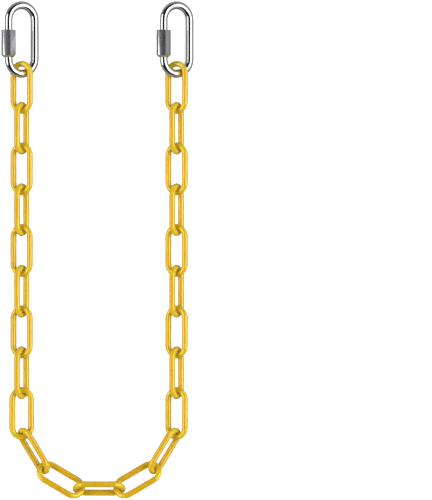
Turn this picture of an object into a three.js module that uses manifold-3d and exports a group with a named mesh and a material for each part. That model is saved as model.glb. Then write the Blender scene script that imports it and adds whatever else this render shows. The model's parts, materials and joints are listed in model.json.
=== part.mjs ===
// A plastic barrier chain with a screw-lock quick link at each end, laid out on the floor in a U.
// Millimetres. +X points to the right, +Y up the two straight strands and +Z up from the floor.
// The middle link, at the bottom of the U, is the fixed piece. Each strand is a row of nested
// groups that starts there, and every group has its origin on the pivot of the link it holds.
// Strand a is the right-hand one and strand b the left-hand one.

import * as THREE from "three";
import { mergeVertices } from "three/addons/utils/BufferGeometryUtils.js";
import Module from "manifold-3d";

const wasm = await Module();
wasm.setup();

// Plastic link
const LINK_ROD = 5.6; // thickness of the moulded ring
const LINK_INNER_LENGTH = 41.6;
const LINK_INNER_WIDTH = 13.2;
const LINK_SLACK = 0.9 / 5.6; // slack between the crowns of two hooked links, as a share of the rod
const LINK_SIDES = 10; // facets round the ring's section
const LINK_BOW_STEPS = 7; // facets along each rounded end

// How the links lie: each leans to one side about its own length, in degrees
const FLAT_LEAN = 28; // the links that lie flatter
const STEEP_LEAN = 90 - FLAT_LEAN; // the links between them, standing on edge
const TWIST_LEAN = 2; // the link of strand b at which it changes its twist

// The U
const LINKS_PER_STRAND = 11; // on each side of the middle link
const LOW_HEADINGS = [30.5, 59]; // climb of the first links beside the middle one, in degrees
const STRAND_HEADING = 90; // the rest run straight up

// Quick link
const QUICK_ROD = 8;
const QUICK_LENGTH = 76.5; // outside
const QUICK_WIDTH = 37.4; // outside
const QUICK_BOW = 15; // from the end of a straight leg to the middle of the bow
const QUICK_PLAY = 3.2; // slack between the bow and the crown of the link that it holds
const QUICK_CLEARANCE = 1; // between the bow and the legs of that link, which pass over and under it
const QUICK_SIDES = 8;
const QUICK_BOW_STEPS = 11;

// Sleeve nut, which slides up its leg to open the quick link
const NUT_FLATS = 13; // across flats
const NUT_LENGTH = 27.5;
const NUT_CHAMFER = 1.1;
const NUT_FIT = 0.3; // between the bore and the leg
const NUT_TURN = 44; // turn of the hexagon about the leg, in degrees
const NUT_SEAT = 1.4; // from the lower bow to the closed nut
const NUT_TOP_GAP = 0.2; // left between the open nut and the upper bow
const NUT_GRIP = 3.5; // length of the lower stub inside the closed nut
const BORE_STEPS = 16;
const CHAMFER_STEPS = 36;

// Worked out from the sizes above
const linkHalfWidth = (LINK_INNER_WIDTH + LINK_ROD) / 2; // to the middle of a leg
const linkCrown = (LINK_INNER_LENGTH + LINK_ROD) / 2; // from a link's centre to the middle of its crown
const linkHook = LINK_ROD * (1 + LINK_SLACK); // between the crowns of two hooked links
const quickHalfWidth = (QUICK_WIDTH - QUICK_ROD) / 2;
const quickCrown = (QUICK_LENGTH - QUICK_ROD) / 2;
const quickHook = (QUICK_ROD + LINK_ROD) / 2 + QUICK_PLAY;
const quickStraight = 2 * (quickCrown - QUICK_BOW);
const nutLow = -quickStraight / 2 + NUT_SEAT;
const nutTravel = quickStraight - NUT_SEAT - NUT_LENGTH - NUT_TOP_GAP;

const radians = THREE.MathUtils.degToRad;
const degrees = THREE.MathUtils.radToDeg;

// The links' centres are level, at the height of a steep link that stands on its lower leg. The
// quick link lies on its right leg with the nut's leg raised, and the last link of each strand
// leans the other way, far enough for its legs to pass over and under the quick link's bow.
const linkHeight = LINK_ROD / 2 + linkHalfWidth * Math.sin(radians(STEEP_LEAN));
const quickLean = -degrees(Math.asin((linkHeight - QUICK_ROD / 2) / quickHalfWidth));
const bowRoom = (QUICK_ROD + LINK_ROD) / 2 + QUICK_CLEARANCE;
const endLean = degrees(Math.asin(bowRoom / linkHalfWidth)) + quickLean;

const yellowPlastic = new THREE.MeshStandardMaterial({
  name: "yellow_plastic", color: 0xe8bd3e, roughness: 0.28, metalness: 0,
});
const polishedSteel = new THREE.MeshStandardMaterial({
  name: "polished_steel", color: 0xd6d8dc, roughness: 0.08, metalness: 1,
});
const satinSteel = new THREE.MeshStandardMaterial({
  name: "satin_steel", color: 0x9a9a9f, roughness: 0.35, metalness: 1,
});

// A round rod bent into a long closed ring: two straight legs along Y and a rounded bow at each
// end. Each bow has a flat facet at the middle of its crown.
function ringGeometry({ rod, halfWidth, bow, straight, sides, bowSteps }) {
  const sections = 2 * (bowSteps + 1);
  const ring = new THREE.TorusGeometry(halfWidth, rod / 2, sides, sections);
  const position = ring.attributes.position;
  for (let i = 0; i < position.count; i++) {
    const section = (i % (sections + 1)) % sections;
    const corner = Math.floor(i / (sections + 1)) % sides;
    const upper = section <= bowSteps;
    const step = upper ? section : section - 1;
    const along = (step * Math.PI) / bowSteps;
    const round = ((corner + 0.5) * 2 * Math.PI) / sides;
    const shift = upper ? straight / 2 : -straight / 2;
    const outward = new THREE.Vector2(bow * Math.cos(along), halfWidth * Math.sin(along)).normalize();
    const out = (rod / 2) * Math.cos(round);
    position.setXYZ(
      i,
      halfWidth * Math.cos(along) + out * outward.x,
      bow * Math.sin(along) + shift + out * outward.y,
      (rod / 2) * Math.sin(round),
    );
  }
  return welded(ring);
}

// The same surface with each shared corner stored once.
function welded(geometry) {
  geometry.deleteAttribute("normal");
  geometry.deleteAttribute("uv");
  const merged = mergeVertices(geometry, 1e-4);
  merged.computeVertexNormals();
  return merged;
}

function solidOf(geometry) {
  const closed = welded(geometry);
  return new wasm.Manifold(
    new wasm.Mesh({
      numProp: 3,
      vertProperties: new Float32Array(closed.attributes.position.array),
      triVerts: new Uint32Array(closed.index.array),
    }),
  );
}

function geometryOf(solid) {
  const mesh = solid.getMesh();
  const geometry = new THREE.BufferGeometry();
  geometry.setAttribute("position", new THREE.BufferAttribute(mesh.vertProperties, 3));
  geometry.setIndex(new THREE.BufferAttribute(mesh.triVerts, 1));
  geometry.computeVertexNormals();
  return geometry;
}

function linkGeometry() {
  return ringGeometry({
    rod: LINK_ROD,
    halfWidth: linkHalfWidth,
    bow: linkHalfWidth,
    straight: 2 * (linkCrown - linkHalfWidth),
    sides: LINK_SIDES,
    bowSteps: LINK_BOW_STEPS,
  });
}

// The bent rod of the quick link, open on its left leg where the nut slides clear.
function quickLinkGeometry() {
  const ring = ringGeometry({
    rod: QUICK_ROD,
    halfWidth: quickHalfWidth,
    bow: QUICK_BOW,
    straight: quickStraight,
    sides: QUICK_SIDES,
    bowSteps: QUICK_BOW_STEPS,
  });
  const opening = nutTravel - NUT_GRIP;
  const gap = new THREE.BoxGeometry(1.5 * QUICK_ROD, opening, 1.5 * QUICK_ROD);
  gap.translate(-quickHalfWidth, nutLow + NUT_GRIP + opening / 2, 0);
  return geometryOf(solidOf(ring).subtract(solidOf(gap)));
}

// A long hexagonal nut along Y, bored through, with its corners turned off at both ends.
function nutGeometry() {
  const cornerRadius = NUT_FLATS / Math.sqrt(3);
  const outline = new THREE.Shape();
  for (let k = 0; k < 6; k++) {
    const angle = radians(60 * k);
    const corner = [cornerRadius * Math.cos(angle), cornerRadius * Math.sin(angle)];
    if (k === 0) outline.moveTo(...corner);
    else outline.lineTo(...corner);
  }
  outline.closePath();
  outline.holes.push(new THREE.Path().absarc(0, 0, QUICK_ROD / 2 + NUT_FIT, 0, 2 * Math.PI, true));
  const prism = new THREE.ExtrudeGeometry(outline, {
    depth: NUT_LENGTH,
    bevelEnabled: false,
    curveSegments: BORE_STEPS,
  });
  prism.translate(0, 0, -NUT_LENGTH / 2);
  prism.rotateX(Math.PI / 2);

  const endRadius = cornerRadius - NUT_CHAMFER;
  const turned = new THREE.LatheGeometry(
    [
      new THREE.Vector2(0, -NUT_LENGTH / 2),
      new THREE.Vector2(endRadius, -NUT_LENGTH / 2),
      new THREE.Vector2(cornerRadius + NUT_CHAMFER, -NUT_LENGTH / 2 + 2 * NUT_CHAMFER),
      new THREE.Vector2(cornerRadius + NUT_CHAMFER, NUT_LENGTH / 2 - 2 * NUT_CHAMFER),
      new THREE.Vector2(endRadius, NUT_LENGTH / 2),
      new THREE.Vector2(0, NUT_LENGTH / 2),
    ],
    CHAMFER_STEPS,
  );
  return geometryOf(solidOf(prism).intersect(solidOf(turned)));
}

function mesh(name, geometry, material) {
  const piece = new THREE.Mesh(geometry, material);
  piece.name = name;
  return piece;
}

// A link that leans to its right when lean is positive: its right-hand leg is the raised one.
function link(name, geometry, lean) {
  const piece = mesh(name, geometry, yellowPlastic);
  piece.rotation.y = -radians(lean);
  return piece;
}

// A quick link on its pivot, which is the middle of the crown it hangs on. The outer group
// leans it, so it turns in its own plane.
function quickLink(strandName, ringShape, nutShape) {
  const pivot = new THREE.Group();
  pivot.rotation.y = -radians(quickLean);

  const swing = new THREE.Group();
  swing.position.y = quickCrown - quickHook;
  const ring = mesh(`quick_link_${strandName}`, ringShape, polishedSteel);

  const nut = mesh(`quick_link_${strandName}_nut`, nutShape, satinSteel);
  nut.position.set(-quickHalfWidth, nutLow + NUT_LENGTH / 2, 0);
  nut.rotation.y = -radians(NUT_TURN);

  swing.add(ring, nut);
  pivot.add(swing);
  return pivot;
}

// The leans of one strand, from the link beside the middle one to the one at the top. The
// middle link leans the other way as seen from strand b, so that strand changes its twist.
function strandLeans(strandName) {
  const leans = [];
  for (let k = 0; k < LINKS_PER_STRAND; k++) leans.push(k % 2 === 0 ? FLAT_LEAN : -STEEP_LEAN);
  if (strandName === "b") leans.splice(0, 3, -FLAT_LEAN, STEEP_LEAN, TWIST_LEAN);
  leans[LINKS_PER_STRAND - 1] = endLean;
  return leans;
}

// One strand: a row of groups, each turned about the vertical on its pivot. The pivot between
// two links is the middle of the crown of the steeper one.
function strand(strandName, linkShape, ringShape, nutShape) {
  const turnWay = strandName === "a" ? 1 : -1;
  const root = new THREE.Group();
  root.position.x = turnWay * linkCrown;
  root.rotation.z = -turnWay * Math.PI / 2;

  let parent = root;
  let heading = 0;
  let pivotAt = 0;
  strandLeans(strandName).forEach((lean, k) => {
    const steep = k % 2 === 1;
    const toCentre = steep ? linkCrown : linkCrown - linkHook;
    const nextHeading = LOW_HEADINGS[k] ?? STRAND_HEADING;
    const joint = new THREE.Group();
    joint.position.y = pivotAt;
    joint.rotation.z = turnWay * radians(nextHeading - heading);
    const piece = link(`link_${strandName}_${String(k + 1).padStart(2, "0")}`, linkShape, lean);
    piece.position.y = toCentre;
    joint.add(piece);
    parent.add(joint);
    parent = joint;
    heading = nextHeading;
    pivotAt = 2 * toCentre;
  });

  const end = quickLink(strandName, ringShape, nutShape);
  end.position.y = 2 * linkCrown - linkHook;
  parent.add(end);
  return root;
}

function chain() {
  const linkShape = linkGeometry();
  const ringShape = quickLinkGeometry();
  const nutShape = nutGeometry();
  const whole = new THREE.Group();

  const middle = link("link_middle", linkShape, -STEEP_LEAN);
  const across = new THREE.Group();
  across.rotation.z = -Math.PI / 2;
  across.add(middle);

  whole.add(across);
  whole.add(strand("a", linkShape, ringShape, nutShape));
  whole.add(strand("b", linkShape, ringShape, nutShape));

  // The origin is the middle of the floor under the whole chain.
  whole.updateMatrixWorld(true);
  const box = new THREE.Box3().setFromObject(whole, true);
  const middlePoint = box.getCenter(new THREE.Vector3());
  whole.position.set(-middlePoint.x, -middlePoint.y, -box.min.z);
  whole.updateMatrixWorld(true);
  return whole;
}

export default chain();
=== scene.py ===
"""A plastic barrier chain laid in a U on the floor, with a screw-lock quick link at each end.

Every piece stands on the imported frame: its place comes from the frame's nodes and joints, and
its own sizes from the property groups below. Lengths are in metres.
"""

import json
import math

import bmesh
import bpy
import numpy as np
from mathutils import Matrix, Vector


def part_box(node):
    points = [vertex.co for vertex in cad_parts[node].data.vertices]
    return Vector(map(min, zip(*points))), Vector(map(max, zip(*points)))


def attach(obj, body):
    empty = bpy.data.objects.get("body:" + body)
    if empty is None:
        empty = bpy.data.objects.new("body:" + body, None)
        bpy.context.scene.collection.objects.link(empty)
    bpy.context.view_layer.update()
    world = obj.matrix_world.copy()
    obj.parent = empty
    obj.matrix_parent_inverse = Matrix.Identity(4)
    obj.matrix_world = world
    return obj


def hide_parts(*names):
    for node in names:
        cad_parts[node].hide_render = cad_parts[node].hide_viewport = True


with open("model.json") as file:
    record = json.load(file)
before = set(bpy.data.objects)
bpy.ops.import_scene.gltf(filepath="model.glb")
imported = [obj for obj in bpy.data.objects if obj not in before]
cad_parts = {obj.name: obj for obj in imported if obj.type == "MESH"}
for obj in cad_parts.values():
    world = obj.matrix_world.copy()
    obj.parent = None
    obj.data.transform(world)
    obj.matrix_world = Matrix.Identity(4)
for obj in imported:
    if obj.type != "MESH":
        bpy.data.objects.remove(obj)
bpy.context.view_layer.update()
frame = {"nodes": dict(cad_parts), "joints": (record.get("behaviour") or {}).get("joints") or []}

bl_info = {
    "name": "Barrier chain",
    "version": (1, 0, 0),
    "blender": (4, 5, 0),
    "location": "View3D > Sidebar > Barrier chain",
    "description": "Builds a plastic barrier chain with a quick link at each end",
    "category": "Add Mesh",
}

STRANDS = ("a", "b")
MM = 0.001

# Each softbox: where its near and its far edge fade in and out, in degrees east of overhead, and
# its share of the light. Both fade out between these distances north and south of overhead.
SOFTBOXES = (
    (((26, 30), (67, 61)), 1.0),
    (((-36, -40), (-68, -62)), 0.95),
)
SOFTBOX_DEPTH = (0.5, 0.4)
HORIZON_GLOW = 0.42
FLOOR_LEVEL = -0.3 * MM  # the swollen legs reach a little below the plain ones
DARKEST = 0.015
MATT_GAIN = 2.6  # how much more of the softboxes falls on matt surfaces than shows in gloss
FLOOR_SIZE = 14
FLOOR_GLOW = 0.75

# Moulded links
LEG_CUTS = 12  # rings of edges along each straight leg
SWELL_FADE = 1.6  # the legs' extra thickness is gone this soon along a crown
GATE_INSET = 0.06 * MM
GATE_HEIGHT = 0.14 * MM

# Quick links
NUT_GRIP = 3.5 * MM  # length of the lower thread inside the closed nut
THREAD_RUN = 10 * MM  # length of the thread above the gap
THREAD_START = 1.2 * MM  # plain rod left between the lower bow and its thread
TIP_CHAMFER = 0.6 * MM
TIP_INSET = 0.8 * MM
STEPS_PER_TURN = 10

# Sleeve nuts
BLANK_MARGIN = 0.02 * MM  # by which the turned bar is wider than the hexagon's corners
UPPER_ROUNDING = 0.9 * MM
EDGE_ROUNDING = 0.3 * MM
WEAR_AND_GLINT_CORNER = 1.0 * MM  # how far the lighter paint reaches from each corner, and from each end: partly wear, partly a painted highlight
WEAR_AND_GLINT_END = 1.2 * MM
WEAR_AND_GLINT_CORE = 0.1 * MM


# --- Sizes and colours ---------------------------------------------------------------------


class PlasticLinkSettings(bpy.types.PropertyGroup):
    """Sizes and colour of the moulded links."""

    rod: bpy.props.FloatProperty(
        name="Rod", description="Thickness of the moulded ring", default=5.6 * MM,
        subtype="DISTANCE", unit="LENGTH",
    )
    leg_rod: bpy.props.FloatProperty(
        name="Leg rod", description="Thickness that the straight legs swell to",
        default=6.1 * MM, subtype="DISTANCE", unit="LENGTH",
    )
    inner_length: bpy.props.FloatProperty(
        name="Inner length", description="Length of the hole in a link", default=41.6 * MM,
        subtype="DISTANCE", unit="LENGTH",
    )
    inner_width: bpy.props.FloatProperty(
        name="Inner width", description="Width of the hole in a link", default=13.2 * MM,
        subtype="DISTANCE", unit="LENGTH",
    )
    seam_width: bpy.props.FloatProperty(
        name="Seam width", description="Width of the raised line where the mould halves meet",
        default=0.5 * MM, subtype="DISTANCE", unit="LENGTH",
    )
    seam_height: bpy.props.FloatProperty(
        name="Seam height", description="Height of the raised mould line", default=0.1 * MM,
        subtype="DISTANCE", unit="LENGTH",
    )
    colour: bpy.props.FloatVectorProperty(
        name="Colour", description="Colour of the plastic", default=(0.84, 0.49, 0.012),
        subtype="COLOR", min=0, max=1,
    )
    # Painted glow: the crowns get a brighter colour that stands for light coming through the
    # plastic.
    crown_glow_colour: bpy.props.FloatVectorProperty(
        name="Crown colour", description="Colour of the rounded ends, where light comes through",
        default=(0.86, 0.59, 0.01), subtype="COLOR", min=0, max=1,
    )


class QuickLinkSettings(bpy.types.PropertyGroup):
    """Sizes and finish of the bent steel rods."""

    rod: bpy.props.FloatProperty(
        name="Rod", description="Thickness of the steel rod", default=8 * MM,
        subtype="DISTANCE", unit="LENGTH",
    )
    length: bpy.props.FloatProperty(
        name="Length", description="Outside length", default=76.5 * MM,
        subtype="DISTANCE", unit="LENGTH",
    )
    width: bpy.props.FloatProperty(
        name="Width", description="Outside width", default=37.4 * MM,
        subtype="DISTANCE", unit="LENGTH",
    )
    bow: bpy.props.FloatProperty(
        name="Bow", description="Height of each rounded end above the straight legs",
        default=15 * MM, subtype="DISTANCE", unit="LENGTH",
    )
    thread_pitch: bpy.props.FloatProperty(
        name="Thread pitch", description="Distance between two turns of the thread",
        default=1.25 * MM, subtype="DISTANCE", unit="LENGTH",
    )
    thread_depth: bpy.props.FloatProperty(
        name="Thread depth", description="Depth of the thread", default=0.55 * MM,
        subtype="DISTANCE", unit="LENGTH",
    )
    colour: bpy.props.FloatVectorProperty(
        name="Colour", description="Colour of the polished steel", default=(0.86, 0.87, 0.89),
        subtype="COLOR", min=0, max=1,
    )


class SleeveNutSettings(bpy.types.PropertyGroup):
    """Sizes and finish of the sleeve nuts."""

    flats: bpy.props.FloatProperty(
        name="Across flats", description="Width of the hexagon across its flats",
        default=13 * MM, subtype="DISTANCE", unit="LENGTH",
    )
    length: bpy.props.FloatProperty(
        name="Length", description="Length of the nut", default=27.5 * MM,
        subtype="DISTANCE", unit="LENGTH",
    )
    bore: bpy.props.FloatProperty(
        name="Bore", description="Diameter of the bore", default=8.3 * MM,
        subtype="DISTANCE", unit="LENGTH",
    )
    taper: bpy.props.FloatProperty(
        name="Taper", description="Size of the cone turned on the lower end",
        default=2.5 * MM, subtype="DISTANCE", unit="LENGTH",
    )
    turn: bpy.props.FloatProperty(
        name="Turn", description="Turn of the hexagon about the leg, from the ring's plane",
        default=math.radians(44), subtype="ANGLE", unit="ROTATION",
    )
    colour: bpy.props.FloatVectorProperty(
        name="Colour", description="Colour of the satin steel", default=(0.7, 0.7, 0.72),
        subtype="COLOR", min=0, max=1,
    )


class StageSettings(bpy.types.PropertyGroup):
    """The floor, the light and the camera."""

    view_height: bpy.props.FloatProperty(
        name="View height", description="Length of floor that the picture's long side shows",
        default=0.5, subtype="DISTANCE", unit="LENGTH",
    )
    camera_height: bpy.props.FloatProperty(
        name="Camera height", description="Height of the camera above the floor", default=8.0,
        subtype="DISTANCE", unit="LENGTH",
    )
    aim: bpy.props.FloatVectorProperty(
        name="Aim", description="Point of the floor that the camera looks down on", size=2,
        default=(0.1183, 0.0), subtype="XYZ", unit="LENGTH",
    )
    light: bpy.props.FloatProperty(
        name="Light", description="Brightness of the stronger softbox", default=2.4, min=0,
    )
    fill: bpy.props.FloatProperty(
        name="Fill", description="Soft light from all round", default=0.32, min=0,
    )
    floor_colour: bpy.props.FloatVectorProperty(
        name="Floor colour", description="Colour of the floor", default=(0.9, 0.9, 0.9),
        subtype="COLOR", min=0, max=1,
    )
    floor_bounce: bpy.props.FloatProperty(
        name="Floor bounce", description="Share of the light that the floor throws back up",
        default=0.3, min=0, max=1,
    )


# --- Modelling helpers ---------------------------------------------------------------------


def deselect_all():
    for obj in bpy.context.selected_objects:
        obj.select_set(False)


def pick(obj):
    """Makes obj the only selected and active object."""
    deselect_all()
    obj.select_set(True)
    bpy.context.view_layer.objects.active = obj


def edit_mesh(obj):
    return bmesh.from_edit_mesh(obj.data)


def select_faces(obj, test):
    """In edit mode, selects the faces whose middle passes the test, and nothing else."""
    bpy.ops.mesh.select_mode(type="FACE")
    bpy.ops.mesh.select_all(action="DESELECT")
    for face in edit_mesh(obj).faces:
        if test(face.calc_center_median()):
            face.select_set(True)
    bmesh.update_edit_mesh(obj.data)


def select_edges(obj, test):
    """In edit mode, selects the edges that pass the test, and nothing else."""
    bpy.ops.mesh.select_mode(type="EDGE")
    bpy.ops.mesh.select_all(action="DESELECT")
    for edge in edit_mesh(obj).edges:
        if test(edge):
            edge.select_set(True)
    bmesh.update_edit_mesh(obj.data)


def middle(edge):
    return (edge.verts[0].co + edge.verts[1].co) / 2


def apply_modifier(obj, kind, **values):
    pick(obj)
    modifier = obj.modifiers.new(kind.title(), kind)
    for name, value in values.items():
        setattr(modifier, name, value)
    bpy.ops.object.modifier_apply(modifier=modifier.name)


def store(obj, name, values):
    """Keeps one number for each vertex, for the material to read."""
    attribute = obj.data.attributes.new(name, "FLOAT", "POINT")
    attribute.data.foreach_set("value", np.asarray(values, dtype=np.float32))


def points(obj):
    flat = np.empty(3 * len(obj.data.vertices), dtype=np.float32)
    obj.data.vertices.foreach_get("co", flat)
    return flat.reshape(-1, 3).astype(float)


def smooth_step(low, high, value):
    t = np.clip((value - low) / (high - low), 0, 1)
    return t * t * (3 - 2 * t)


def placed_copy(master, name, place):
    """A copy of master with its own mesh, put in place inside that mesh."""
    piece = bpy.data.objects.new(name, master.data.copy())
    piece.data.name = name
    piece.data.transform(place)
    bpy.context.scene.collection.objects.link(piece)
    return piece


def remove(obj):
    mesh = obj.data
    bpy.data.objects.remove(obj)
    bpy.data.meshes.remove(mesh)


def axes_matrix(x_axis, y_axis, z_axis, origin):
    """The matrix that takes a piece modelled about the origin to these axes and this place."""
    turn = Matrix((x_axis, y_axis, z_axis)).transposed().to_4x4()
    return Matrix.Translation(origin) @ turn


def open_ring(half_width, rod, straight, ring_steps, rod_steps):
    """A torus parted across its two widest places, with its halves drawn apart along Y. It is
    left selected, in edit mode, with its legs missing."""
    deselect_all()
    bpy.ops.mesh.primitive_torus_add(
        major_radius=half_width, minor_radius=rod / 2,
        major_segments=ring_steps, minor_segments=rod_steps,
    )
    ring = bpy.context.object
    bpy.ops.object.mode_set(mode="EDIT")
    select_faces(ring, lambda at: at.y < 0)
    bpy.ops.mesh.split()
    bpy.ops.transform.translate(value=(0, -straight / 2, 0))
    select_faces(ring, lambda at: at.y > 0)
    bpy.ops.transform.translate(value=(0, straight / 2, 0))
    return ring


def bridge_leg(ring, side, cuts):
    """Joins the open ends on one side of a parted ring with a straight leg."""
    select_edges(ring, lambda edge: edge.is_boundary and side * middle(edge).x > 0)
    bpy.ops.mesh.bridge_edge_loops(number_cuts=cuts, interpolation="LINEAR")


# --- Shader helpers ------------------------------------------------------------------------


def group_socket(group, name, kind, way="INPUT", default=None):
    socket = group.interface.new_socket(name=name, in_out=way, socket_type=kind)
    if default is not None:
        socket.default_value = default


def add_node(tree, kind, **values):
    node = tree.nodes.new(kind)
    for name, value in values.items():
        setattr(node, name, value)
    return node


def set_inputs(node, **values):
    for name, value in values.items():
        node.inputs[name.replace("_", " ")].default_value = value


def maths(tree, operation, first, second):
    """A Math node. Each input is a socket or a number."""
    node = add_node(tree, "ShaderNodeMath", operation=operation)
    for socket, value in zip(node.inputs, (first, second)):
        if isinstance(value, (int, float)):
            socket.default_value = value
        else:
            tree.links.new(value, socket)
    return node.outputs[0]


def noise(tree, vector, scale, detail=2.0, roughness=0.5):
    node = add_node(tree, "ShaderNodeTexNoise")
    if not isinstance(scale, (int, float)):
        tree.links.new(scale, node.inputs["Scale"])
    else:
        set_inputs(node, Scale=scale)
    set_inputs(node, Detail=detail, Roughness=roughness)
    tree.links.new(vector, node.inputs["Vector"])
    return node.outputs["Fac"]


def span(tree, value, low, high, to_low=0.0, to_high=1.0):
    """A Map Range node, clamped."""
    node = add_node(tree, "ShaderNodeMapRange")
    set_inputs(node, From_Min=low, From_Max=high, To_Min=to_low, To_Max=to_high)
    tree.links.new(value, node.inputs["Value"])
    return node.outputs["Result"]


def blend_colours(tree, factor, first, second):
    """A colour Mix node. Each colour is a socket or a fixed colour."""
    node = add_node(tree, "ShaderNodeMix", data_type="RGBA")
    for index, value in ((0, factor), (6, first), (7, second)):
        if isinstance(value, (int, float, tuple)):
            node.inputs[index].default_value = value
        else:
            tree.links.new(value, node.inputs[index])
    return node.outputs[2]


def with_alpha(colour, level=1.0):
    return tuple(channel * level for channel in colour) + (1.0,)


def scratches_group():
    """Fine hairline scratches in two directions. Mask is 1 in a scratch."""
    group = bpy.data.node_groups.new("Hairline scratches", "ShaderNodeTree")
    group_socket(group, "Vector", "NodeSocketVector")
    group_socket(group, "Fineness", "NodeSocketFloat", default=900.0)
    group_socket(group, "Amount", "NodeSocketFloat", default=0.3)
    group_socket(group, "Mask", "NodeSocketFloat", "OUTPUT")
    given = add_node(group, "NodeGroupInput")
    masks = []
    for turn, stretch in ((0.5, 0.035), (-1.1, 0.05)):
        turned = add_node(group, "ShaderNodeMapping")
        set_inputs(turned, Rotation=(0.3, 0.2, turn), Scale=(1.0, stretch, 1.0))
        group.links.new(given.outputs["Vector"], turned.inputs["Vector"])
        lines = noise(group, turned.outputs["Vector"], given.outputs["Fineness"], 1.0)
        masks.append(span(group, lines, 0.66, 0.72))
    both = maths(group, "MAXIMUM", *masks)
    patches = span(group, noise(group, given.outputs["Vector"], 60.0), 0.45, 0.65)
    patchy = maths(group, "MULTIPLY", both, patches)
    mask = maths(group, "MULTIPLY", patchy, given.outputs["Amount"])
    out = add_node(group, "NodeGroupOutput")
    group.links.new(mask, out.inputs["Mask"])
    return group


def tone_group():
    """Slow drift of a colour from place to place."""
    group = bpy.data.node_groups.new("Tone drift", "ShaderNodeTree")
    group_socket(group, "Vector", "NodeSocketVector")
    group_socket(group, "Colour", "NodeSocketColor", default=(0.5, 0.5, 0.5, 1))
    group_socket(group, "Darker", "NodeSocketColor", default=(0.4, 0.4, 0.4, 1))
    group_socket(group, "Patch size", "NodeSocketFloat", default=40.0)
    group_socket(group, "Amount", "NodeSocketFloat", default=0.3)
    group_socket(group, "Colour", "NodeSocketColor", "OUTPUT")
    given = add_node(group, "NodeGroupInput")
    wide = noise(group, given.outputs["Vector"], given.outputs["Patch size"], 3.0)
    drift = maths(group, "MULTIPLY", span(group, wide, 0.35, 0.65), given.outputs["Amount"])
    colour = blend_colours(group, drift, given.outputs["Colour"], given.outputs["Darker"])
    out = add_node(group, "NodeGroupOutput")
    group.links.new(colour, out.inputs["Colour"])
    return group


def shader_group(name):
    """The named effect, built the first time that a material asks for it."""
    builders = {"Hairline scratches": scratches_group, "Tone drift": tone_group}
    return bpy.data.node_groups.get(name) or builders[name]()


def add_group(tree, name, vector, **values):
    node = add_node(tree, "ShaderNodeGroup", node_tree=shader_group(name))
    tree.links.new(vector, node.inputs["Vector"])
    set_inputs(node, **values)
    return node


def new_material(name):
    """A material with an empty Principled BSDF, and its node tree, shader and coordinates."""
    material = bpy.data.materials.new(name)
    material.use_nodes = True
    tree = material.node_tree
    shader = tree.nodes["Principled BSDF"]
    place = add_node(tree, "ShaderNodeTexCoord").outputs["Object"]
    return material, tree, shader, place


def add_bump(tree, shader, height, distance, strength=1.0):
    bump = add_node(tree, "ShaderNodeBump")
    set_inputs(bump, Strength=strength, Distance=distance)
    tree.links.new(height, bump.inputs["Height"])
    tree.links.new(bump.outputs["Normal"], shader.inputs["Normal"])


def mark(tree, name):
    """The numbers that store() kept on the piece under that name."""
    node = add_node(tree, "ShaderNodeAttribute", attribute_name=name)
    return node.outputs["Fac"]


# --- Materials -----------------------------------------------------------------------------


def yellow_plastic(colour, crown_glow_colour):
    """Glossy moulded plastic: a slow drift of tone, a painted glow on the crowns for light coming
    through them, a paler mould line, and inner crowns dulled where the next link rubs."""
    material, tree, shader, place = new_material("yellow plastic")
    drift = add_group(
        tree, "Tone drift", place, Colour=with_alpha(colour), Darker=with_alpha(colour, 0.88),
        Patch_size=35.0, Amount=0.6,
    ).outputs["Colour"]
    # painted glow: the crowns blend to a brighter colour for light coming through the plastic
    tone = blend_colours(tree, mark(tree, "crown"), drift, with_alpha(crown_glow_colour))
    pale = tuple(0.75 * channel + 0.25 * 0.9 for channel in colour) + (1.0,)
    rub = mark(tree, "rub")
    seam = mark(tree, "seam")
    rubbed = maths(tree, "MULTIPLY", rub, span(tree, noise(tree, place, 900.0, 4.0), 0.4, 0.7))
    scuffed = blend_colours(tree, maths(tree, "MULTIPLY", rubbed, 0.35), tone, pale)
    lined = blend_colours(tree, maths(tree, "MULTIPLY", seam, 0.3), scuffed, pale)
    tree.links.new(lined, shader.inputs["Base Color"])

    scratch = add_group(tree, "Hairline scratches", place, Fineness=700.0, Amount=0.5)
    gloss = span(tree, noise(tree, place, 120.0, 3.0), 0.3, 0.7, 0.11, 0.17)
    dulled = maths(tree, "ADD", gloss, maths(tree, "MULTIPLY", rubbed, 0.25))
    dulled = maths(tree, "ADD", dulled, maths(tree, "MULTIPLY", scratch.outputs["Mask"], 0.25))
    tree.links.new(dulled, shader.inputs["Roughness"])

    orange_peel = noise(tree, place, 450.0, 2.0)
    height = maths(tree, "SUBTRACT", orange_peel, scratch.outputs["Mask"])
    add_bump(tree, shader, height, 0.00001, 0.3)
    set_inputs(shader, Metallic=0.0, IOR=1.8, Specular_IOR_Level=1.0, Coat_Weight=0.6)
    set_inputs(shader, Specular_Tint=(1.0, 0.85, 0.25, 1.0))
    set_inputs(shader, Subsurface_Weight=0.12, Subsurface_Radius=(1.0, 0.6, 0.1))
    set_inputs(shader, Subsurface_Scale=0.0025)
    return material


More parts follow.
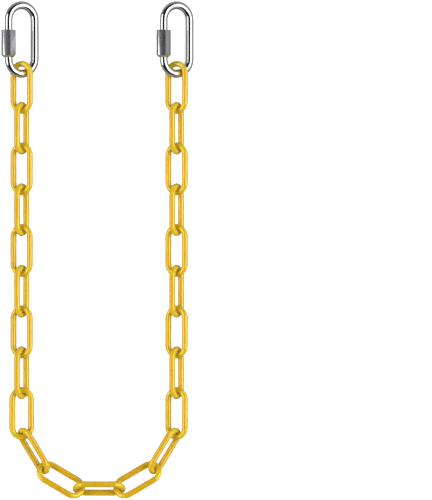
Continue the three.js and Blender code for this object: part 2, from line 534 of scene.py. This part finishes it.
def polished_steel(colour):
    """Mirror-polished rod, with hairlines and a duller thread."""
    material, tree, shader, place = new_material("polished steel")
    tone = add_group(
        tree, "Tone drift", place, Colour=with_alpha(colour), Darker=with_alpha(colour, 0.82),
        Patch_size=60.0, Amount=0.5,
    ).outputs["Colour"]
    thread = mark(tree, "thread")
    oiled = blend_colours(tree, maths(tree, "MULTIPLY", thread, 0.5), tone, (0.33, 0.32, 0.3, 1))
    tree.links.new(oiled, shader.inputs["Base Color"])
    scratch = add_group(tree, "Hairline scratches", place, Fineness=1100.0, Amount=0.3)
    gloss = span(tree, noise(tree, place, 90.0, 3.0), 0.3, 0.7, 0.03, 0.075)
    rough = maths(tree, "ADD", gloss, maths(tree, "MULTIPLY", scratch.outputs["Mask"], 0.18))
    rough = maths(tree, "ADD", rough, maths(tree, "MULTIPLY", thread, 0.25))
    tree.links.new(rough, shader.inputs["Roughness"])
    add_bump(tree, shader, maths(tree, "MULTIPLY", scratch.outputs["Mask"], -1.0), 0.00001, 0.4)
    set_inputs(shader, Metallic=1.0)
    return material


def satin_steel(colour):
    """Satin hexagon bar: drawn lines along its length, lighter on its corners and ends, partly from
    wear and partly as a painted highlight.
    """
    material, tree, shader, place = new_material("satin steel")
    drawn = add_node(tree, "ShaderNodeMapping")
    set_inputs(drawn, Scale=(1.0, 0.02, 1.0))
    tree.links.new(place, drawn.inputs["Vector"])
    lines = noise(tree, drawn.outputs["Vector"], 2600.0, 3.0, 0.6)
    tone = add_group(
        tree, "Tone drift", place, Colour=with_alpha(colour), Darker=with_alpha(colour, 0.85),
        Patch_size=150.0, Amount=0.3,
    ).outputs["Colour"]
    lined = blend_colours(
        tree, span(tree, lines, 0.35, 0.65, 0.0, 0.3), tone, with_alpha(colour, 0.75)
    )
    edge = mark(tree, "edge")
    # corners and ends painted lighter: partly wear, partly a painted highlight where the edges
    # catch the light
    worn_and_highlit = maths(tree, "MULTIPLY", edge, span(tree, noise(tree, place, 500.0, 4.0), 0.35, 0.6))
    bright = blend_colours(tree, maths(tree, "MULTIPLY", worn_and_highlit, 0.7), lined, (0.8, 0.8, 0.82, 1))
    tree.links.new(bright, shader.inputs["Base Color"])
    scratch = add_group(tree, "Hairline scratches", place, Fineness=900.0, Amount=0.3)
    rough = span(tree, lines, 0.3, 0.7, 0.17, 0.21)
    rough = maths(tree, "ADD", rough, maths(tree, "MULTIPLY", scratch.outputs["Mask"], 0.1))
    tree.links.new(rough, shader.inputs["Roughness"])
    height = maths(tree, "SUBTRACT", lines, scratch.outputs["Mask"])
    add_bump(tree, shader, height, 0.000003, 0.2)
    set_inputs(shader, Metallic=1.0)
    return material


def floor_paint(colour, bounce):
    """Pale floor, lit a little from beneath, that throws less light back up than it shows."""
    material, tree, shader, place = new_material("studio floor")
    tone = add_group(
        tree, "Tone drift", place, Colour=with_alpha(colour), Darker=with_alpha(colour, 0.995),
        Patch_size=3.0, Amount=1.0,
    ).outputs["Colour"]
    tree.links.new(tone, shader.inputs["Base Color"])
    set_inputs(shader, Roughness=0.9, Specular_IOR_Level=0.0)
    set_inputs(shader, Emission_Color=(1, 1, 1, 1), Emission_Strength=FLOOR_GLOW)
    dim = add_node(tree, "ShaderNodeBsdfDiffuse")
    set_inputs(dim, Color=(bounce, bounce, bounce, 1))
    seen = add_node(tree, "ShaderNodeLightPath").outputs["Is Camera Ray"]
    either = add_node(tree, "ShaderNodeMixShader")
    tree.links.new(seen, either.inputs[0])
    tree.links.new(dim.outputs[0], either.inputs[1])
    tree.links.new(shader.outputs[0], either.inputs[2])
    tree.links.new(either.outputs[0], tree.nodes["Material Output"].inputs["Surface"])
    return material


# --- Plastic links -------------------------------------------------------------------------


def link_master(size):
    """One moulded link about the origin, with its long axis along Y and its ring in XY."""
    half_width = (size.inner_width + size.rod) / 2
    crown = (size.inner_length + size.rod) / 2
    straight = 2 * (crown - half_width)
    ring = open_ring(half_width, size.rod, straight, ring_steps=64, rod_steps=32)
    for side in (1, -1):
        bridge_leg(ring, side, cuts=LEG_CUTS)

    # the legs swell from the crowns to their full thickness
    mesh = edit_mesh(ring)
    mesh.normal_update()
    for vert in mesh.verts:
        past_leg = max(abs(vert.co.y) - straight / 2, 0) / half_width
        swell = max(1 - SWELL_FADE * past_leg, 0)
        vert.co += vert.normal * (size.leg_rod - size.rod) / 2 * swell
    bmesh.update_edit_mesh(ring.data)

    # the mould line, all round the outside and the inside of the ring
    on_seam = size.rod / 100
    select_edges(ring, lambda edge: all(abs(vert.co.z) < on_seam for vert in edge.verts))
    bpy.ops.mesh.bevel(offset=size.seam_width / 2, segments=2, affect="EDGES")
    mesh = edit_mesh(ring)
    mesh.normal_update()
    for vert in mesh.verts:
        if abs(vert.co.z) < on_seam:
            vert.co += vert.normal * size.seam_height
    bmesh.update_edit_mesh(ring.data)

    # the stub of the mould's gate, in the middle of one leg's outer side
    segment = straight / (LEG_CUTS + 1)
    outside = half_width + size.rod * 0.45
    select_faces(
        ring,
        lambda at: abs(at.y) < segment / 2 and at.x > outside and abs(at.z) < size.seam_width / 2,
    )
    bpy.ops.mesh.inset(thickness=GATE_INSET, depth=GATE_HEIGHT)
    bpy.ops.object.mode_set(mode="OBJECT")
    bpy.ops.object.shade_smooth()

    at = points(ring)
    leg_end = np.clip(np.abs(at[:, 1]) - straight / 2, 0, None) * np.sign(at[:, 1])
    from_middle = np.hypot(at[:, 0], leg_end)
    inner = smooth_step(half_width, half_width - size.rod / 2, from_middle)
    near_crown = smooth_step(half_width * 0.35, half_width * 0.6, np.abs(leg_end))
    store(ring, "rub", inner * near_crown)
    # crown marks where the painted glow of light through the plastic is laid on
    store(ring, "crown", smooth_step(0, half_width * 0.6, np.abs(leg_end)))
    store(ring, "seam", smooth_step(size.seam_width, size.seam_width / 4, np.abs(at[:, 2])))
    return ring


def link_place(node):
    """Where a link lies: its three axes and its middle, from the spread of its CAD corners."""
    at = points(frame["nodes"][node])
    centre = (at.min(axis=0) + at.max(axis=0)) / 2
    _, directions = np.linalg.eigh(np.cov((at - centre).T))
    normal = Vector(directions[:, 0])
    along = Vector(directions[:, 2])
    if normal.z < 0:
        normal = -normal
    if along.y < -0.1 or (abs(along.y) <= 0.1 and along.x < 0):
        along = -along
    across = along.cross(normal)
    return axes_matrix(across, along, normal, Vector(centre))


class CHAIN_OT_plastic_links(bpy.types.Operator):
    """Adds every moulded link of the chain"""

    bl_idname = "chain.plastic_links"
    bl_label = "Plastic links"

    def execute(self, context):
        settings = context.scene.plastic_link
        master = link_master(settings)
        master.data.materials.append(yellow_plastic(settings.colour, settings.crown_glow_colour))
        for node in sorted(name for name in frame["nodes"] if name.startswith("link_")):
            piece = placed_copy(master, f"moulded_{node}", link_place(node))
            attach(piece, node)
            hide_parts(node)
        remove(master)
        return {"FINISHED"}


# --- Quick links ---------------------------------------------------------------------------


def draw_out(ring, test, distances):
    """Extrudes the open end that passes the test along Y, once for each distance, and closes it."""
    select_edges(ring, lambda edge: edge.is_boundary and test(middle(edge)))
    for distance in distances:
        bpy.ops.mesh.extrude_region_move(TRANSFORM_OT_translate={"value": (0, distance, 0)})
    bpy.ops.mesh.edge_face_add()
    bpy.ops.mesh.select_mode(type="FACE")
    bpy.ops.mesh.inset(thickness=TIP_INSET)


def cut_thread(at, size, half_width, start, end):
    """Turns a thread into the left leg between two places along it, chamfered at its end.
    Returns the moved points and how deep in the thread each one is."""
    across = at[:, 0] + half_width
    radius = np.hypot(across, at[:, 2])
    angle = np.arctan2(at[:, 2], across)
    way = math.copysign(1, end - start)
    on_leg = (radius < size.rod * 0.51) & (radius > size.rod * 0.49)
    in_run = on_leg & ((at[:, 1] - start) * way > -1e-6) & ((end - at[:, 1]) * way > -1e-6)
    turns = at[:, 1] / size.thread_pitch - angle / (2 * math.pi)
    groove = np.abs(2 * (turns % 1) - 1)
    run_in = smooth_step(0, size.thread_pitch, np.abs(at[:, 1] - start))
    to_end = np.abs(end - at[:, 1])
    depth = size.thread_depth * groove * run_in
    depth += np.clip(TIP_CHAMFER - to_end, 0, None)
    scale = np.where(in_run, 1 - depth / np.maximum(radius, 1e-9), 1)
    moved = at.copy()
    moved[:, 0] = across * scale - half_width
    moved[:, 2] = at[:, 2] * scale
    return moved, np.where(in_run, run_in, 0)


def quick_link_master(size, gap_low, gap_high):
    """One bent rod about the origin, with its long axis along Y, its ring in XY and the gap in
    its left leg, which is threaded on both sides of the gap."""
    half_width = (size.width - size.rod) / 2
    straight = size.length - size.rod - 2 * size.bow
    ring = open_ring(half_width, size.rod, straight, ring_steps=96, rod_steps=48)
    bridge_leg(ring, 1, cuts=14)

    step = size.thread_pitch / STEPS_PER_TURN
    upper_end, lower_end = straight / 2, -straight / 2
    plain = upper_end - (gap_high + THREAD_RUN)
    fine = [-step] * round(THREAD_RUN / step)
    draw_out(ring, lambda at: at.x < 0 < at.y, [-plain] + fine)
    low_run = gap_low - lower_end
    count = round(low_run / step)
    draw_out(ring, lambda at: at.x < 0 and at.y < 0, [low_run / count] * count)
    bpy.ops.object.mode_set(mode="OBJECT")

    at = points(ring)
    at, upper = cut_thread(at, size, half_width, gap_high + THREAD_RUN, gap_high)
    at, lower = cut_thread(at, size, half_width, lower_end + THREAD_START, gap_low)
    bend = size.bow / half_width
    bow = np.abs(at[:, 1]) > straight / 2
    past = np.abs(at[:, 1]) - straight / 2
    at[bow, 1] = np.sign(at[bow, 1]) * (straight / 2 + past[bow] * bend)
    ring.data.vertices.foreach_set("co", at.astype(np.float32).ravel())
    ring.data.update()
    store(ring, "thread", np.maximum(upper, lower))
    pick(ring)
    bpy.ops.object.shade_smooth_by_angle(angle=math.radians(40))
    return ring


def joint_of(name):
    return next(joint for joint in frame["joints"] if joint["name"] == name)


def middle_of(node):
    low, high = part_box(node)
    return (Vector(low) + Vector(high)) / 2


def ring_axes(strand):
    """A quick link's axes: across its legs, along them, and square to its ring."""
    normal = Vector(joint_of(f"quick_link_{strand}_swing")["axis"]).normalized()
    if normal.z < 0:
        normal = -normal
    along = Vector(joint_of(f"quick_link_{strand}_nut_travel")["axis"]).normalized()
    return along.cross(normal), along, normal


class CHAIN_OT_quick_links(bpy.types.Operator):
    """Adds the bent steel rod of each quick link"""

    bl_idname = "chain.quick_links"
    bl_label = "Quick links"

    def execute(self, context):
        settings = context.scene.quick_link
        nut_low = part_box("quick_link_a_nut")[0][1] - middle_of("quick_link_a").y
        travel = joint_of("quick_link_a_nut_travel")["range_m"][1]
        master = quick_link_master(settings, nut_low + NUT_GRIP, nut_low + travel)
        master.data.materials.append(polished_steel(settings.colour))
        for strand in STRANDS:
            node = f"quick_link_{strand}"
            place = axes_matrix(*ring_axes(strand), middle_of(node))
            piece = placed_copy(master, f"bent_rod_{strand}", place)
            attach(piece, node)
            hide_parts(node)
        remove(master)
        return {"FINISHED"}


# --- Sleeve nuts ---------------------------------------------------------------------------


def turned_blank(radius, length, taper, rounding):
    """A round bar about the origin with a cone on its lower end and a rounded upper end."""
    deselect_all()
    bpy.ops.mesh.primitive_cylinder_add(vertices=96, radius=radius, depth=length)
    blank = bpy.context.object
    bpy.ops.object.mode_set(mode="EDIT")
    for end, offset, segments in ((-1, taper, 1), (1, rounding, 4)):
        level = end * length / 2
        select_edges(blank, lambda edge: all(abs(v.co.z - level) < 1e-6 for v in edge.verts))
        bpy.ops.mesh.bevel(offset=offset, segments=segments, affect="EDGES")
    bpy.ops.object.mode_set(mode="OBJECT")
    return blank


def nut_master(size):
    """One sleeve nut about the origin, with its axis along Z and a corner of its hexagon on X."""
    corner = size.flats / math.sqrt(3)
    blank = turned_blank(corner + BLANK_MARGIN, size.length, size.taper, UPPER_ROUNDING)
    deselect_all()
    bpy.ops.mesh.primitive_cylinder_add(vertices=128, radius=size.bore / 2, depth=2 * size.length)
    drill = bpy.context.object
    deselect_all()
    bpy.ops.mesh.primitive_cylinder_add(vertices=6, radius=corner, depth=size.length)
    nut = bpy.context.object
    bpy.ops.object.mode_set(mode="EDIT")
    bpy.ops.mesh.select_all(action="SELECT")
    bpy.ops.transform.rotate(
        value=math.radians(30), orient_axis="Z", center_override=(0, 0, 0)
    )
    bpy.ops.object.mode_set(mode="OBJECT")
    for tool, operation in ((blank, "INTERSECT"), (drill, "DIFFERENCE")):
        apply_modifier(nut, "BOOLEAN", object=tool, operation=operation, solver="EXACT")
        remove(tool)
    apply_modifier(
        nut, "BEVEL", width=EDGE_ROUNDING, segments=3, limit_method="ANGLE",
        angle_limit=math.radians(25),
    )
    bpy.ops.object.shade_smooth_by_angle(angle=math.radians(30))

    at = points(nut)
    angle = np.arctan2(at[:, 1], at[:, 0])
    radius = np.hypot(at[:, 0], at[:, 1])
    to_corner = np.abs((angle / math.radians(60) + 0.5) % 1 - 0.5) * math.radians(60) * radius
    on_corner = smooth_step(WEAR_AND_GLINT_CORNER, WEAR_AND_GLINT_CORE, to_corner)
    to_end = size.length / 2 - np.abs(at[:, 2])
    on_end = smooth_step(WEAR_AND_GLINT_END, WEAR_AND_GLINT_CORE, to_end)
    # edge marks the corners and ends that the satin steel paints lighter: partly wear, partly a
    # painted highlight
    store(nut, "edge", np.maximum(on_corner, on_end) * (radius > size.bore * 0.52))
    return nut


class CHAIN_OT_sleeve_nuts(bpy.types.Operator):
    """Adds the hexagonal sleeve nut of each quick link"""

    bl_idname = "chain.sleeve_nuts"
    bl_label = "Sleeve nuts"

    def execute(self, context):
        settings = context.scene.sleeve_nut
        master = nut_master(settings)
        master.data.materials.append(satin_steel(settings.colour))
        for strand in STRANDS:
            node = f"quick_link_{strand}_nut"
            across, along, _ = ring_axes(strand)
            turn = Matrix.Rotation(-settings.turn, 3, along)
            corner = turn @ across
            place = axes_matrix(corner, along.cross(corner), along, middle_of(node))
            piece = placed_copy(master, f"sleeve_nut_{strand}", place)
            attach(piece, node)
            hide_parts(node)
        remove(master)
        return {"FINISHED"}


# --- Stage ---------------------------------------------------------------------------------


def soft_step(tree, value, low, high):
    """0 below low and 1 above high, or the other way round if low is the higher one."""
    if low > high:
        return maths(tree, "SUBTRACT", 1.0, span(tree, value, high, low))
    return span(tree, value, low, high)


def studio_world(light, fill):
    """A dim round studio with two tall softboxes, one to the left and a stronger one to the right,
    and a dark slot overhead between them. The camera itself sees plain white past the floor."""
    world = bpy.data.worlds.new("Studio")
    bpy.context.scene.world = world
    world.use_nodes = True
    tree = world.node_tree
    tree.nodes.clear()
    direction = add_node(tree, "ShaderNodeTexCoord").outputs["Generated"]
    parts = add_node(tree, "ShaderNodeSeparateXYZ")
    tree.links.new(direction, parts.inputs[0])
    east, north, up = parts.outputs
    lean = maths(tree, "ARCTAN2", east, up)
    off_axis = maths(tree, "ABSOLUTE", north, 0.0)
    depth = soft_step(tree, off_axis, *SOFTBOX_DEPTH)
    boxes = []
    for edges, level in SOFTBOXES:
        near, far = (
            soft_step(tree, lean, math.radians(edge[0]), math.radians(edge[1])) for edge in edges
        )
        boxes.append(maths(tree, "MULTIPLY", maths(tree, "MULTIPLY", near, far), level))
    both = maths(tree, "MULTIPLY", maths(tree, "ADD", *boxes), depth)
    below_boxes = maths(tree, "MULTIPLY", span(tree, up, 0.4, 0.47, HORIZON_GLOW, 0.0), depth)
    all_round = span(tree, up, 0.14, 0.36, HORIZON_GLOW, DARKEST)
    glow = maths(tree, "MAXIMUM", below_boxes, all_round)
    ray = add_node(tree, "ShaderNodeLightPath")
    lit = ray.outputs["Is Diffuse Ray"]
    strength = maths(tree, "ADD", maths(tree, "MULTIPLY", lit, light * MATT_GAIN - light), light)
    soft = maths(tree, "MULTIPLY", lit, fill)
    total = maths(tree, "ADD", maths(tree, "MULTIPLY", both, strength), glow)
    studio = add_node(tree, "ShaderNodeBackground")
    tree.links.new(maths(tree, "ADD", total, soft), studio.inputs["Strength"])
    plain = add_node(tree, "ShaderNodeBackground")
    set_inputs(plain, Color=(1, 1, 1, 1), Strength=1.0)
    set_inputs(studio, Color=(1, 1, 1, 1))
    either = add_node(tree, "ShaderNodeMixShader")
    tree.links.new(ray.outputs["Is Camera Ray"], either.inputs[0])
    tree.links.new(studio.outputs[0], either.inputs[1])
    tree.links.new(plain.outputs[0], either.inputs[2])
    out = add_node(tree, "ShaderNodeOutputWorld")
    tree.links.new(either.outputs[0], out.inputs["Surface"])


class CHAIN_OT_stage(bpy.types.Operator):
    """Adds the floor, the studio light and the camera"""

    bl_idname = "chain.stage"
    bl_label = "Stage"

    def execute(self, context):
        settings = context.scene.stage
        deselect_all()
        bpy.ops.mesh.primitive_plane_add(size=FLOOR_SIZE, location=(0, 0, FLOOR_LEVEL))
        floor = context.object
        floor.name = "studio_floor"
        floor.data.materials.append(floor_paint(settings.floor_colour, settings.floor_bounce))
        studio_world(settings.light, settings.fill)

        camera = bpy.data.objects.new("camera", bpy.data.cameras.new("camera"))
        context.scene.collection.objects.link(camera)
        camera.location = (*settings.aim, settings.camera_height)
        camera.data.sensor_width = 36
        camera.data.lens = camera.data.sensor_width * settings.camera_height / settings.view_height
        camera.data.clip_end = 100
        context.scene.camera = camera
        context.scene.view_settings.view_transform = "Standard"
        return {"FINISHED"}


# --- Panel and run -------------------------------------------------------------------------


OPERATORS = (
    CHAIN_OT_stage,
    CHAIN_OT_plastic_links,
    CHAIN_OT_quick_links,
    CHAIN_OT_sleeve_nuts,
)

SETTINGS = {
    "plastic_link": PlasticLinkSettings,
    "quick_link": QuickLinkSettings,
    "sleeve_nut": SleeveNutSettings,
    "stage": StageSettings,
}


class CHAIN_PT_panel(bpy.types.Panel):
    """The chain's pieces, and their sizes and colours"""

    bl_idname = "CHAIN_PT_panel"
    bl_label = "Barrier chain"
    bl_space_type = "VIEW_3D"
    bl_region_type = "UI"
    bl_category = "Barrier chain"

    def draw(self, context):
        for operator in OPERATORS:
            self.layout.operator(operator.bl_idname)
        for name, settings in SETTINGS.items():
            column = self.layout.column(heading=name.replace("_", " ").capitalize())
            for key in settings.__annotations__:
                column.prop(getattr(context.scene, name), key)


CLASSES = (*SETTINGS.values(), *OPERATORS, CHAIN_PT_panel)


def register():
    for cls in CLASSES:
        bpy.utils.register_class(cls)
    for name, settings in SETTINGS.items():
        setattr(bpy.types.Scene, name, bpy.props.PointerProperty(type=settings))


def unregister():
    for name in SETTINGS:
        delattr(bpy.types.Scene, name)
    for cls in reversed(CLASSES):
        bpy.utils.unregister_class(cls)


def main():
    register()
    bpy.ops.chain.stage()
    bpy.ops.chain.plastic_links()
    bpy.ops.chain.quick_links()
    bpy.ops.chain.sleeve_nuts()


if __name__ == "__main__":
    main()
